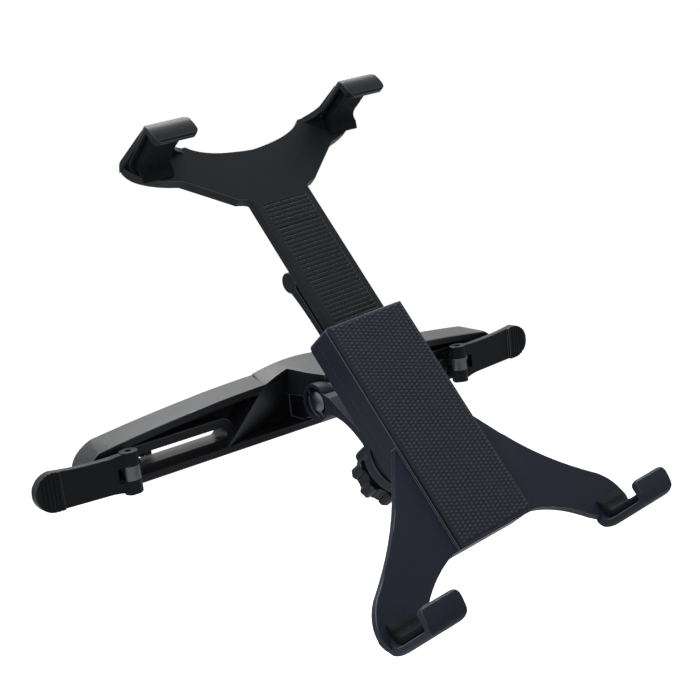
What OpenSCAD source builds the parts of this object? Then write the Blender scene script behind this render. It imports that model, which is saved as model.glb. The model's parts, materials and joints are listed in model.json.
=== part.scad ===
/* [Mount bar] */
// Length of the bar from end to end
bar_length = 208; // [190:1:230]
// Depth of the wings from the front rim to the back face
bar_depth = 13.5; // [12:0.5:16]
// Height of the bar at its middle
bar_height = 23.5; // [21:0.5:28]
// Radius of the arched top
bar_arch_radius = 715; // [600:5:900]
// Radius of the top corner at each end
bar_end_radius = 12; // [8:0.5:13]
// Wall of the top, the bottom and the ends
bar_wall = 3; // [2.2:0.1:3.5]
// Wall between the channel and the back face
bar_back_wall = 2.6; // [2:0.1:3.4]
// Height of the slot in each wing
slot_height = 4.8; // [4.6:0.1:6]
// Distance from the middle to the inner end of each slot
slot_inner = 41; // [38:1:46]
// Distance from the middle to the outer end of each slot
slot_outer = 98.5; // [94:0.5:99]
// Height of the raised rim around each slot
slot_rim_height = 12; // [10:0.5:13]
// How far the slot rim stands back from the front of the bar
slot_rim_setback = 3.4; // [3:0.1:4.5]
// How steeply the top slopes down towards the front
bar_slope = 5; // [0:0.5:7]
// Half width of the raised dome in the middle
dome_half = 20; // [17:0.5:24]
// How far the dome rises above the bar
dome_rise = 3.6; // [2.5:0.1:5]

/* [Tilt hinge] */
// Radius of the ears and the lug
knuckle_radius = 7.8; // [7:0.1:8.5]
// Half width of the lug on the nose
lug_half_width = 4.8; // [4:0.1:5.5]
// Thickness of each ear of the arm
ear_thickness = 5.5; // [5:0.1:7]
// Radius of the tilt screw
tilt_screw_radius = 2.5; // [2:0.1:3]
// How far the hinge axis lies in front of the bar
hinge_reach = 15; // [14:0.5:18]
// Height of the hinge axis above the underside of the bar
hinge_height = 14.6; // [14:0.1:16]
// Lean of the cradle, measured back from upright
tilt_angle = 36.6; // [0:0.1:80]

/* [Tilt arm] */
// Thickness of the disc at the end of the arm
disc_thickness = 5.2; // [4.5:0.1:6]
// Radius of the disc
disc_radius = 14; // [12:0.5:15]
// Distance from the hinge axis down to the turn axis
arm_drop = 37; // [35:0.1:44]
// Distance from the hinge axis forward to the front face of the disc
disc_reach = 20.4; // [20:0.1:24]
// Roll of the cradle about the turn axis
turn_angle = 4.3; // [-180:0.1:180]

/* [Turn knob] */
// Radius over the lobes
knob_radius = 12.8; // [12:0.1:14]
// Thickness of the lobes
knob_thickness = 8; // [6:0.5:9]
// Number of lobes
knob_lobes = 8; // [5:1:8]
// Radius of the turn screw
turn_screw_radius = 2.5; // [2:0.1:3]

/* [Cradle] */
// Width of the cradle body
body_width = 38; // [36:0.5:44]
// Height of the body above the turn axis
body_above = 50.6; // [47:0.2:58]
// Height of the body below the turn axis
body_below = 42.9; // [38:0.1:46]
// Depth of the cradle body without its cover
body_depth = 9; // [8.5:0.1:11]
// Depth of the rear cover
cover_depth = 5; // [4.5:0.1:6]
// Distance from the hinge axis to the front face of the body
body_reach = 45; // [44:0.1:48]
// Thickness of the grip pad
pad_thickness = 1.9; // [1.2:0.1:2.5]
// Margin of the body around the grip pad
pad_margin = 0.5; // [0.2:0.1:2]
// Thickness of the lower arms
arm_thickness = 3.4; // [3:0.1:4.5]
// Half of the distance between the middles of the lower hooks
lower_hook_x = 55.1; // [53:0.1:60]
// Distance from the turn axis down to the back of the lower hooks
lower_hook_z = 63.4; // [60:0.1:68]

/* [Hooks] */
// Width of a lower hook
lower_hook_width = 17; // [15:0.1:20]
// Width of an upper hook
upper_hook_width = 18.6; // [15:0.1:21]
// Height of the lip of a hook
lip_height = 10; // [8:0.5:12]
// How far a hook stands in front of the body
hook_reach = 21.4; // [19:0.1:24]
// How much further the lower hooks stand out
lower_hook_extra = 3; // [0:0.5:4]
// Wall of a hook
hook_wall = 3; // [2.6:0.1:3.6]
// Thickness of the soft liners
liner_thickness = 2.5; // [1.5:0.1:3]

/* [Upper bracket] */
// Width of the rail
rail_width = 27.2; // [24:0.1:29]
// Thickness of the rail and the upper arms
rail_thickness = 4.5; // [4:0.1:5]
// How far the front of the rail lies behind the front of the body
rail_setback = 3; // [2.6:0.1:3.4]
// Length of rail that shows above the body
rail_show = 58.6; // [0:0.1:66]
// Length of rail that stays inside the body
rail_inside = 30; // [25:1:34]
// Spacing of the ribs
rib_pitch = 1.85; // [1.5:0.05:2.5]
// Depth of the grooves between the ribs
rib_depth = 0.5; // [0.3:0.05:0.8]
// Half of the distance between the middles of the upper hooks
upper_hook_x = 45.7; // [43:0.1:50]
// Height of the back of the upper hooks above the bracket's foot
bracket_height = 30; // [29:0.5:36]

/* [Release lever] */
// Width of the release lever
release_width = 23; // [18:0.5:25]
// Thickness of the release lever
release_thickness = 2.8; // [2.4:0.1:3.2]
// Length of the lever above its pin
release_length = 34.5; // [30:0.5:40]
// Radius of the rolled tip
release_tip_radius = 4.1; // [3.2:0.1:4.2]
// Radius of the release pin
release_pin_radius = 1.2; // [1:0.1:1.4]

/* [Post clamps] */
// How far the left clamp stands from the outer end of its slot
left_end_room = 2.1; // [1.6:0.1:30]
// How far the right clamp stands from the outer end of its slot
right_end_room = 14.7; // [1.6:0.1:30]
// Radius of the headrest posts that the jaws hold
post_radius = 6; // [5:0.1:7]
// Distance along the bar from a clamp bolt to its post
post_offset = 11.5; // [11.5:0.1:14]
// Radius of the clamp bolts
bolt_radius = 2; // [1.8:0.1:2.2]
// Radius of the barrel knuckles
barrel_radius = 3.5; // [3.2:0.1:3.8]
// Height of the whole barrel
barrel_height = 16.2; // [15:0.1:18]
// Height of the middle knuckle
eye_height = 5.4; // [5:0.1:6]
// Radius of the lever pin
lever_pin_radius = 1.25; // [1:0.05:1.4]
// Length of the clamp lever from its pin
lever_length = 39; // [34:0.5:46]
// Thickness of the clamp lever
lever_thickness = 3; // [2.6:0.1:3.4]
// Radius of the thumb tip
lever_tip_radius = 7.3; // [7:0.1:8.2]
// Angle of the shut lever, measured forward from the bar
lever_angle = 1; // [0:0.1:4]
// How far the cam lets the jaw move back
jaw_travel = 1.4; // [1:0.1:1.6]
// Height of the jaws
jaw_height = 10; // [9:0.5:12]
// Wall of the jaws
jaw_wall = 3; // [2.6:0.1:4]
// Width of the slide blocks
slider_width = 15; // [12:0.5:16]

/* [Hidden] */
$fn = 64;
eps = 0.01;

// Clearances
run_gap = 0.06;
slide_gap = 0.15;
press_gap = 0.03;
part_gap = 0.3;

// Mount bar, worked out from the hinge axis at the origin
bar_front = hinge_reach;
bar_back = bar_front + bar_depth;
bar_bottom = -hinge_height;
bar_top = bar_bottom + bar_height;
bar_half = bar_length / 2;
slot_face = bar_front + slot_rim_setback;
slot_limit = slot_outer - slide_gap - slider_width / 2;
left_clamp_x = slot_limit - left_end_room;
right_clamp_x = slot_limit - right_end_room;
slot_z = bar_bottom + 7.9;
recess_back = bar_back - bar_back_wall;
dome_top = bar_top + 0.2 + dome_rise;
dome_back = bar_back - 0.2;
roof_slope = 5.8;
roof_back_y = bar_front + 3.6;
roof_back_half = 9.3;
roof_tip_y = -1;
roof_under = knuckle_radius + part_gap + 0.2;
fin_top_x = dome_half + 3;
fin_foot_x = fin_top_x + 23;
fin_inner_x = fin_top_x - 0.5;
fin_slope = 24.5;

// Clamp
cam_open_radius = barrel_radius + 0.1;
cam_shut_radius = cam_open_radius + jaw_travel;
cam_swing = 95;
lever_swing = 80;
cam_half = 4.2;
barrel_y = bar_front - part_gap - barrel_radius - jaw_travel * lever_swing / cam_swing;
slider_front = barrel_y + cam_shut_radius + run_gap;
cam_plate = slot_face - slider_front - 0.1;
lever_front = -1.8;
lever_tip_z = 2.6;
post_y = bar_back + post_radius;
bolt_end_y = bar_back + 9;
jaw_nut_half = 3.4;
jaw_nut_height = 3;
pad_length = 10.4;

// Tilt arm
ear_outer = lug_half_width + 0.2 + ear_thickness;
disc_back_y = -disc_reach + disc_thickness;
head_radius = 4.2;
head_recess = 2;
washer_thickness = 2.05;
knob_front_y = disc_back_y + 0.15 + washer_thickness;
knob_neck = 3.5;
knob_screw_y = knob_front_y + knob_neck + knob_thickness - 2;

// Cradle, measured from the turn axis
body_front_y = -body_reach;
body_back_y = body_front_y + body_depth;
cover_back_y = body_back_y + cover_depth;
rail_front_y = body_front_y + rail_setback;
rail_back_y = rail_front_y + rail_thickness;
turret_end_y = -disc_reach - 0.2;
turret_radius = disc_radius - 1;
foot_z = body_above + rail_show;
upper_back_z = foot_z + bracket_height;
lip_front_y = body_front_y - hook_reach;
arms_front_y = body_front_y + 1;
rail_low_z = body_above - rail_inside;
rib_half = rail_width / 2 - 2.9;
arm_root_z = 42.8 - body_below;
hook_round = 8;

// Release lever
release_pin_z = body_above - 8;
release_front_y = rail_back_y + 4.1;
release_back_y = release_front_y + release_thickness;
release_pin_y = release_front_y + release_thickness / 2;
house_half = release_width / 2 + 3;
house_back_y = release_back_y + 3.3;
house_low_z = body_above - 34;
toe_z = release_pin_z - 12;
toe_room = 6;
screw_inset = 5;
screw_bite = 4;
turn_nut_half = 4.6;
turn_nut_height = 4;
spring_radius = 2.2;
spring_wire = 0.3;
spring_turns = 4;

function bend(a, b, c, n = 10) =
    [for (i = [0 : n]) let (t = i / n) (1 - t) * (1 - t) * a + 2 * t * (1 - t) * b + t * t * c];
function arc(c, r, from, to, n = 12) =
    [for (i = [0 : n]) let (a = from + (to - from) * i / n) c + r * [cos(a), sin(a)]];
// A list of points without its first
function rest(pts) = [for (i = [1 : len(pts) - 1]) pts[i]];
// The other half of an outline, without the point on the middle line
function flip(pts) = [for (i = [len(pts) - 1 : -1 : 0]) if (pts[i][0] > 0) [-pts[i][0], pts[i][1]]];
function arch_z(x) = bar_top - bar_arch_radius + sqrt(pow(bar_arch_radius, 2) - pow(x, 2));

// The origin is the axis of the left post at the height of the slots
module in_row() {
    translate([left_clamp_x - post_offset, -post_y, -slot_z]) children();
}
module tilted() {
    in_row() rotate([-tilt_angle, 0, 0]) children();
}
module turned() {
    tilted() translate([0, 0, -arm_drop]) rotate([0, -turn_angle, 0]) children();
}
// A cylinder along Y, from y0 to y1
module rod_y(r, y0, y1) {
    translate([0, y1, 0]) rotate([90, 0, 0]) cylinder(r = r, h = y1 - y0);
}
// A cylinder along X, from x0 to x1
module rod_x(r, x0, x1) {
    translate([x0, 0, 0]) rotate([0, 90, 0]) cylinder(r = r, h = x1 - x0);
}
// A flat outline in X and Z, given depth from y0 to y1
module slab_y(y0, y1) {
    translate([0, y1, 0]) rotate([90, 0, 0]) linear_extrude(y1 - y0) children();
}
// An outline in Y and Z, given width from x0 to x1
module slab_x(x0, x1) {
    translate([x0, 0, 0]) rotate([90, 0, 90]) linear_extrude(x1 - x0) children();
}
module box(lo, hi) {
    translate(lo) cube(hi - lo);
}

// Mount bar

function bar_half_outline(inset, lift) =
    let (half = bar_half - inset,
         r = bar_end_radius - inset * 1.1,
         low = bar_bottom + inset,
         foot = 4 - inset * 0.7,
         top = lift - inset,
         shoulder = half - r)
    concat([for (i = [0 : 8]) let (x = shoulder * i / 9) [x, arch_z(x) + top]],
           bend([shoulder, arch_z(shoulder) + top], [half, arch_z(half) + top - 1.5],
                [half, arch_z(shoulder) + top - r], 8),
           bend([half, low + foot], [half, low], [half - foot, low], 5));

module bar_outline(inset = 0, lift = 0) {
    half = bar_half_outline(inset, lift);
    polygon(concat(half, flip(half)));
}

// Tilts its children down towards the front, about the front edge at the height z
module sloped(angle, z) {
    translate([0, bar_front, z]) rotate([angle, 0, 0]) translate([0, -bar_front, -z]) children();
}

module bar_shell() {
    reach = bar_half + 4;
    difference() {
        slab_y(bar_front, bar_back) bar_outline(0, 1.5);
        sloped(bar_slope, bar_top) slab_y(bar_front - 6, bar_back + 6)
            polygon(concat([[reach, 30]], [for (i = [-12 : 12]) let (x = -reach * i / 12) [x, arch_z(x)]],
                           [[-reach, 30]]));
        slab_y(bar_front - eps, recess_back) bar_outline(bar_wall);
    }
}

// A straight bar outline with round ends, span between the middles of the ends
module round_ended(span, height) {
    square([span, height], center = true);
    for (end = [-1, 1])
        translate([end * span / 2, 0]) circle(d = height);
}

module slot_shape(height) {
    for (side = [-1, 1])
        translate([side * (slot_inner + slot_outer) / 2, slot_z])
            round_ended(slot_outer - slot_inner - slot_height, height);
}

module mount_bar() {
    color([0.09, 0.09, 0.1]) in_row() {
        difference() {
            union() {
                difference() {
                    union() {
                        bar_shell();
                        for (side = [0, 1]) mirror([side, 0, 0]) fin();
                    }
                    for (side = [0, 1]) mirror([side, 0, 0]) fin_face();
                }
                slab_y(slot_face, bar_back - 1) slot_shape(slot_rim_height);
                dome();
                nose();
            }
            slab_y(slot_face - eps, bar_back + eps) slot_shape(slot_height);
            rod_x(tilt_screw_radius + run_gap, -lug_half_width - eps, lug_half_width + eps);
        }
    }
}

// Plan of the dome, the roof of the nose and its point over the hinge
module dome_plan() {
    polygon([[-fin_top_x, bar_front], [-roof_back_half, roof_back_y], [-lug_half_width, roof_tip_y],
             [lug_half_width, roof_tip_y], [roof_back_half, roof_back_y], [fin_top_x, bar_front],
             [dome_half, dome_back], [-dome_half, dome_back]]);
}

module dome() {
    intersection() {
        translate([0, 0, roof_under]) linear_extrude(20) dome_plan();
        sloped(roof_slope, bar_top) slab_y(roof_tip_y - 5, bar_back + 5)
            polygon(concat([[fin_top_x + 2, -20]],
                           [for (i = [-12 : 12]) let (x = -i * (fin_top_x + 2) / 12)
                               [x, dome_top - 1.4 - dome_rise * pow(x / (fin_top_x + 2), 2)]],
                           [[-fin_top_x - 2, -20]]));
    }
}

// A fin runs from the dome down to the foot of the bar; its face slopes back towards the nose
module fin() {
    slab_y(bar_front, recess_back + eps)
        polygon([[fin_top_x, bar_top - 0.6], [fin_foot_x, bar_bottom + 1], [fin_inner_x, bar_bottom + 1],
                 [roof_back_half - 1, 2.4], [roof_back_half - 1, bar_top - 0.6]]);
}

// What is cut away in front of the face of a fin
module fin_face() {
    low = bar_bottom + bar_wall;
    intersection() {
        translate([fin_top_x, bar_front, bar_top - 0.4]) rotate([0, -45, 0]) rotate([0, 0, -fin_slope])
            box([-bar_half, -bar_half, -bar_half], [0, 0, bar_half]);
        box([-1, roof_tip_y, low], [slot_outer, recess_back, bar_top + dome_rise]);
    }
}

module nose() {
    ear_room = knuckle_radius + 0.6;
    difference() {
        union() {
            linear_extrude(roof_under + 2)
                polygon([[-roof_back_half, roof_back_y + 8], [-roof_back_half, roof_back_y],
                         [-lug_half_width, roof_tip_y], [lug_half_width, roof_tip_y],
                         [roof_back_half, roof_back_y], [roof_back_half, roof_back_y + 8]]);
            // Web under the roof, down to the foot of the bar
            slab_x(-lug_half_width, lug_half_width)
                polygon([[0, -knuckle_radius + 1], [knuckle_radius + 1, bar_bottom + 6],
                         [roof_back_y + 2, bar_bottom + 2], [recess_back + 1, bar_bottom + 1],
                         [recess_back + 1, 1], [0, 1]]);
            // Upright ribs on the sides of the nose
            for (side = [-1, 1], i = [0 : 3])
                translate([side * (roof_back_half - 1.25 - 0.42 * i), roof_back_y - 2.4 - 2.1 * i, 0])
                    cylinder(r = 0.5, h = roof_under + 1, $fn = 16);
        }
        for (side = [0, 1]) mirror([side, 0, 0])
            rod_x(ear_room, lug_half_width, roof_back_half + 6);
    }
    rod_x(knuckle_radius - 0.3, -lug_half_width, lug_half_width);
}

// Post clamps, drawn for the left side with the bolt at x = 0

module left_clamp() {
    in_row() translate([-left_clamp_x, 0, slot_z]) children();
}
module right_clamp() {
    in_row() translate([right_clamp_x, 0, slot_z]) mirror([1, 0, 0]) children();
}

module slide_block() {
    height = slot_height - 2 * slide_gap;
    color([0.07, 0.07, 0.08])
        difference() {
            union() {
                slab_y(slider_front, bar_back) round_ended(slider_width - height, height);
                box([-barrel_radius, slider_front, -cam_half - 0.2],
                    [barrel_radius, slider_front + cam_plate, cam_half + 0.2]);
            }
            rod_y(bolt_radius + run_gap, slider_front - eps, bar_back + eps);
        }
}

module clamp_bolt() {
    color([0.2, 0.2, 0.21])
        difference() {
            union() {
                translate([0, barrel_y, -eye_height / 2]) cylinder(r = barrel_radius, h = eye_height);
                rod_y(bolt_radius, barrel_y + lever_pin_radius + 1, bolt_end_y);
            }
            translate([0, barrel_y, -eye_height]) cylinder(r = lever_pin_radius + run_gap, h = 2 * eye_height);
        }
}

module jaw_outline() {
    // Plan of the jaw: a boss round the bolt and a hook behind the post
    hook_r = post_radius + liner_thickness * 0.6 + jaw_wall;
    difference() {
        union() {
            polygon([[-6, bar_back + part_gap], [post_offset - post_radius - 1.5, bar_back + part_gap],
                     [post_offset - post_radius - 1.5, post_y], [post_offset - hook_r, post_y],
                     [-2.5, bolt_end_y + 1.2], [-6, bolt_end_y - 2]]);
            translate([post_offset, post_y]) circle(r = hook_r);
        }
        translate([post_offset, post_y]) circle(r = post_radius + liner_thickness * 0.6);
        translate([post_offset - post_radius - liner_thickness * 0.6, bar_back - hook_r])
            square([2 * hook_r + post_radius, hook_r + post_radius]);
        translate([post_offset - 2 * hook_r, bar_back - hook_r]) square([4 * hook_r, hook_r + part_gap]);
    }
}

module jaw() {
    color([0.08, 0.08, 0.09])
        difference() {
            translate([0, 0, -jaw_height / 2]) linear_extrude(jaw_height) jaw_outline();
            rod_y(bolt_radius + press_gap, bar_back, bolt_end_y + 10);
            translate([0, bolt_end_y + 3, 0]) rotate([90, 0, 0])
                cylinder(r = jaw_nut_half, h = 3 + jaw_nut_height, $fn = 6);
        }
}

module jaw_liner() {
    color([0.05, 0.05, 0.05])
        translate([post_offset, post_y, -jaw_height / 2])
            difference() {
                cylinder(r = post_radius + liner_thickness * 0.6, h = jaw_height);
                translate([0, 0, -1]) cylinder(r = post_radius, h = jaw_height + 2);
                box([-20, -20, -1], [20, 0, jaw_height + 1]);
            }
}

module jaw_nut() {
    color([0.6, 0.6, 0.62])
        difference() {
            translate([0, bolt_end_y, 0]) rotate([90, 0, 0])
                cylinder(r = jaw_nut_half - 0.1, h = jaw_nut_height, $fn = 6);
            rod_y(bolt_radius, bolt_end_y - 10, bolt_end_y + 10);
        }
}

// Outline of the lever seen from the front, pointing to -X from its pin
module lever_outline() {
    low = -barrel_height / 2 + 2.1;
    top = barrel_height / 2 - 0.3;
    tip_x = -lever_length + lever_tip_radius;
    polygon(concat([[0, top]], [[-6, top]],
                   bend([-9, top + 0.1], [-20, top + 0.2], [tip_x, lever_tip_z + lever_tip_radius], 6),
                   arc([tip_x, lever_tip_z], lever_tip_radius, 90, 270, 16),
                   [[-9, low], [-5, low - 0.6], [0, -barrel_height / 2]]));
}

// Cam that bears on the flat front of the slide block; its reach falls evenly by jaw_travel over its swing
module cam_outline() {
    steps = 18;
    slide = jaw_travel / cam_swing * 180 / PI;
    polygon(concat([for (i = [0 : steps]) let (a = 90 - lever_angle - cam_swing * i / steps)
                        (cam_shut_radius - jaw_travel * i / steps) * [cos(a), sin(a)]
                        + slide * [-sin(a), cos(a)]],
                   [cam_open_radius * [cos(-35), sin(-35)], [0, 0],
                    cam_shut_radius * 0.8 * [cos(125 - lever_angle), sin(125 - lever_angle)]]));
}

module clamp_lever() {
    half = barrel_height / 2;
    eye = eye_height / 2 + 0.1;
    color([0.08, 0.08, 0.09])
        translate([0, barrel_y, 0]) rotate([0, 0, lever_angle])
            difference() {
                union() {
                    slab_y(lever_front, lever_front + lever_thickness) lever_outline();
                    intersection() {
                        slab_y(lever_front - 1.2, lever_front + lever_thickness) lever_outline();
                        box([-lever_length - 1, -20, -40], [-lever_length + pad_length, 20, 40]);
                    }
                    translate([0, 0, -half]) cylinder(r = barrel_radius, h = barrel_height);
                    translate([0, 0, -cam_half]) linear_extrude(2 * cam_half) cam_outline();
                }
                translate([0, 0, -half - 1]) cylinder(r = lever_pin_radius + press_gap, h = barrel_height + 2);
                // Room for the middle knuckle
                translate([0, 0, -eye]) cylinder(r = cam_shut_radius + 1.4, h = 2 * eye);
                for (i = [0 : 4])
                    translate([-lever_length + 2.6 + 1.5 * i, lever_front - 1.2, 0])
                        cylinder(r = 0.4, h = 60, center = true, $fn = 24);
            }
}

module lever_pin() {
    color([0.5, 0.5, 0.52])
        translate([0, barrel_y, -barrel_height / 2 + 1])
            cylinder(r = lever_pin_radius, h = barrel_height - 2.2);
}

// Tilt arm

module tilt_arm() {
    back = concat([[-3, -6]], bend([-6, -9], [-12.5, -14], [disc_back_y, -26], 8), [[disc_back_y, -arm_drop + 4]]);
    front = concat([[-disc_reach, -arm_drop + 4]], bend([-disc_reach, -28], [-15, -15], [-10, -3], 8), [[-6, 2]]);
    color([0.1, 0.1, 0.11]) tilted()
        difference() {
            union() {
                for (side = [0, 1]) mirror([side, 0, 0])
                    rod_x(knuckle_radius, lug_half_width + 0.2, ear_outer);
                slab_x(-ear_outer, ear_outer) polygon(concat(back, front));
                translate([0, 0, -arm_drop]) rod_y(disc_radius, -disc_reach, disc_back_y);
            }
            // Room for the lug between the ears
            rod_x(knuckle_radius + 0.6, -lug_half_width - 0.2, lug_half_width + 0.2);
            box([-lug_half_width - 0.2, -8, -5], [lug_half_width + 0.2, 8, 9]);
            rod_x(tilt_screw_radius + press_gap, -ear_outer - 1, ear_outer + 1);
            rod_x(head_radius + 0.2, -ear_outer - 1, -ear_outer + head_recess + 0.8);
            // Ring and two tabs in the left ear
            difference() {
                rod_x(knuckle_radius - 1.4, -ear_outer - 1, -ear_outer + head_recess);
                box([-ear_outer - 2, -0.7, -10], [-ear_outer + head_recess + 1, 0.7, 10]);
            }
            translate([ear_outer - 3, 0, 0]) rotate([0, 90, 0]) cylinder(r = 4.3, h = 4, $fn = 6);
            translate([0, 0, -arm_drop]) rod_y(turn_screw_radius + run_gap, -disc_reach - 1, disc_back_y + 1);
        }
}

module tilt_screw() {
    color([0.09, 0.09, 0.1]) tilted() {
        rod_x(tilt_screw_radius, -ear_outer + 1, ear_outer - 0.4);
        rod_x(head_radius, -ear_outer + 1.2, -ear_outer + head_recess + 0.8);
        translate([-ear_outer + 1.2, 0, 0]) rotate([0, -90, 0])
            rotate_extrude() intersection() {
                translate([0, -6.4]) circle(r = 7.65);
                square([head_radius, 5]);
            }
    }
}

module tilt_nut() {
    color([0.6, 0.6, 0.62]) tilted()
        difference() {
            translate([ear_outer - 3, 0, 0]) rotate([0, 90, 0]) cylinder(r = 4.2, h = 2.6, $fn = 6);
            rod_x(tilt_screw_radius, 0, ear_outer + 5);
        }
}

// Turn knob and its screw

module on_turn_axis() {
    tilted() translate([0, 0, -arm_drop]) children();
}

module knob_outline() {
    lobe = 2.5;
    valley = 3.3;
    difference() {
        union() {
            circle(r = knob_radius - 2);
            for (i = [0 : knob_lobes - 1])
                rotate((i + 0.5) * 360 / knob_lobes) translate([knob_radius - lobe, 0]) circle(r = lobe);
        }
        for (i = [0 : knob_lobes - 1])
            rotate(i * 360 / knob_lobes) translate([knob_radius + 1.1, 0]) circle(r = valley);
    }
}

module turn_knob() {
    grip = knob_front_y + knob_neck;
    color([0.08, 0.08, 0.09]) on_turn_axis()
        difference() {
            union() {
                slab_y(grip, grip + knob_thickness) knob_outline();
                rod_y(knob_radius - 5, knob_front_y, grip + 1);
                rod_y(knob_radius - 6, grip + 1, grip + knob_thickness + 1.2);
            }
            rod_y(turn_screw_radius + press_gap, knob_front_y - 1, knob_screw_y);
        }
}

module turn_screw() {
    color([0.6, 0.6, 0.62]) on_turn_axis()
        rod_y(turn_screw_radius, cover_back_y - 1, knob_screw_y);
}

module turn_washer() {
    color([0.6, 0.6, 0.62]) on_turn_axis()
        difference() {
            rod_y(turn_screw_radius + 4, disc_back_y + 0.05, disc_back_y + 0.05 + washer_thickness);
            rod_y(turn_screw_radius + run_gap, disc_back_y - 1, disc_back_y + 3);
        }
}

module turn_nut() {
    color([0.6, 0.6, 0.62]) turned()
        difference() {
            translate([0, cover_back_y + turn_nut_height, 0]) rotate([90, 0, 0])
                cylinder(r = turn_nut_half, h = turn_nut_height, $fn = 6);
            rod_y(turn_screw_radius + run_gap, cover_back_y - 1, cover_back_y + turn_nut_height + 1);
        }
}

// Cradle

module lower_arm_outline() {
    half = body_width / 2;
    root = arm_root_z;
    hook = [lower_hook_x, -lower_hook_z];
    polygon(concat([[half - 2, root], [half, root]],
                   bend([half + 9.5, root - 13.3], [half + 20, root - 28.8], hook + [3.2, 20.5], 8),
                   rest(bend(hook + [3.2, 20.5], hook + [9.4, 15], hook + [9.6, 8], 6)),
                   rest(bend(hook + [9.6, 8], hook + [8.6, 0.6], hook + [4.9, 0.5], 6)),
                   rest(bend(hook + [4.9, 0.5], hook + [-3.1, 1.1], hook + [-13.1, 9.8], 8)),
                   rest(bend(hook + [-13.1, 9.8], [half + 13.5, -body_below - 2.7],
                             [half + 3, -body_below - 0.1], 8)),
                   [[half, -body_below], [half - 2, -body_below]]));
}

// Section of a hook in Y and Z: its foot along -Y from the origin, then the lip back up
module hook_section(reach, plate) {
    wall = hook_wall;
    fillet = hook_round - wall;
    polygon(concat([[0, 0], [0, hook_round + 1], [-plate + 0.4, hook_round + 1]],
                   bend([-plate, wall + fillet], [-plate, wall], [-plate - fillet, wall], 6),
                   bend([-reach + wall + 2, wall], [-reach + wall, wall], [-reach + wall, wall + 2], 5),
                   [[-reach + wall, lip_height - 0.8], [-reach + wall - 0.8, lip_height],
                    [-reach + 0.8, lip_height]],
                   bend([-reach, lip_height - 0.8], [-reach, 0], [-reach + 5, 0], 8)));
}

// Web that widens the foot of a hook where it meets the plate
module hook_web(width, reach, plate) {
    spread = 7;
    flare = 2;
    tip = -reach + 2 * hook_wall;
    translate([0, 0, 0.3]) linear_extrude(hook_wall - 0.6)
        polygon(concat([[width / 2 - 1, tip], [1 - width / 2, tip]],
                       bend([-width / 2, -plate - 6], [-width / 2 - 2, -plate - 2], [-width / 2 - spread, -plate], 5),
                       [[-width / 2 - spread, -1], [width / 2 + flare, -1], [width / 2 + flare, -plate]]));
}

// What is cut away to round the back corner of the hooks, from -half to half along X
module hook_corner(half) {
    slab_x(-half, half)
        polygon(concat([[1, hook_round]], bend([0, hook_round], [0, 0], [-hook_round, 0], 8),
                       [[-hook_round, -1], [1, -1]]));
}

// Front view of a hook, with its rounded corners
module hook_front(width) {
    half = width / 2;
    r = 2.6;
    polygon(concat(arc([half - r, lip_height - r + 3], r, 0, 90, 5),
                   arc([-half + r, lip_height - r + 3], r, 90, 180, 5),
                   arc([-half + r, r], r, 180, 270, 5),
                   arc([half - r, r], r, 270, 360, 5)));
}

module lip_front(width) {
    half = width / 2;
    r = 2.6;
    polygon(concat(arc([half - r, lip_height - r], r, 0, 90, 5),
                   arc([-half + r, lip_height - r], r, 90, 180, 5),
                   [[-half, -1], [half, -1]]));
}

// Front view of the root of a hook, rounded so that it stays within the arm
module root_front(width) {
    half = width / 2;
    r = 6.5;
    polygon(concat(arc([half - r, hook_round + 1 - r], r, 0, 90, 8),
                   arc([-half + r, hook_round + 1 - r], r, 90, 180, 8),
                   [[-half, -1], [half, -1]]));
}

module hook(width, reach, plate) {
    intersection() {
        slab_x(-width / 2, width / 2) hook_section(reach, plate);
        slab_y(-reach - 1, 1) hook_front(width);
        union() {
            slab_y(-reach - 1, -reach + hook_wall + eps) lip_front(width);
            slab_y(-reach + hook_wall, 1) root_front(width);
        }
    }
}

module lower_hook() {
    back = arms_front_y + arm_thickness;
    reach = back - lip_front_y + lower_hook_extra;
    translate([lower_hook_x, back, -lower_hook_z]) hook(lower_hook_width, reach, arm_thickness);
}

module cradle_body() {
    half = body_width / 2;
    color([0.09, 0.09, 0.1]) turned()
        difference() {
            union() {
                slab_y(body_front_y, body_back_y) body_outline(half);
                for (side = [0, 1]) mirror([side, 0, 0]) {
                    slab_y(arms_front_y, arms_front_y + arm_thickness) lower_arm_outline();
                    lower_hook();
                }
            }
            // Channel for the rail, open at the top
            box([-rail_width / 2 - slide_gap, rail_front_y - slide_gap, -body_below + 3],
                [rail_width / 2 + slide_gap, rail_back_y + slide_gap, body_above + 1]);
            // Window for the toe of the release lever
            box([-release_width / 2 - 0.5, rail_back_y, toe_z - toe_room],
                [release_width / 2 + 0.5, body_back_y + 1, body_above + 1]);
            for (p = screw_places())
                translate([p[0], 0, p[1]]) rod_y(1.2, body_back_y - screw_bite, body_back_y + 1);
            translate([0, arms_front_y + arm_thickness, -lower_hook_z]) hook_corner(2 * lower_hook_x);
        }
}

module body_outline(half) {
    r = 1.6;
    polygon(concat([[half, -body_below]],
                   arc([half - r, body_above - r], r, 0, 90, 5),
                   arc([-half + r, body_above - r], r, 90, 180, 5),
                   [[-half, -body_below]]));
}

function screw_places() =
    [for (x = [-1, 1], z = [screw_inset - body_below, house_low_z - screw_inset])
        [x * (body_width / 2 - screw_inset / 2), z]];

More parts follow.
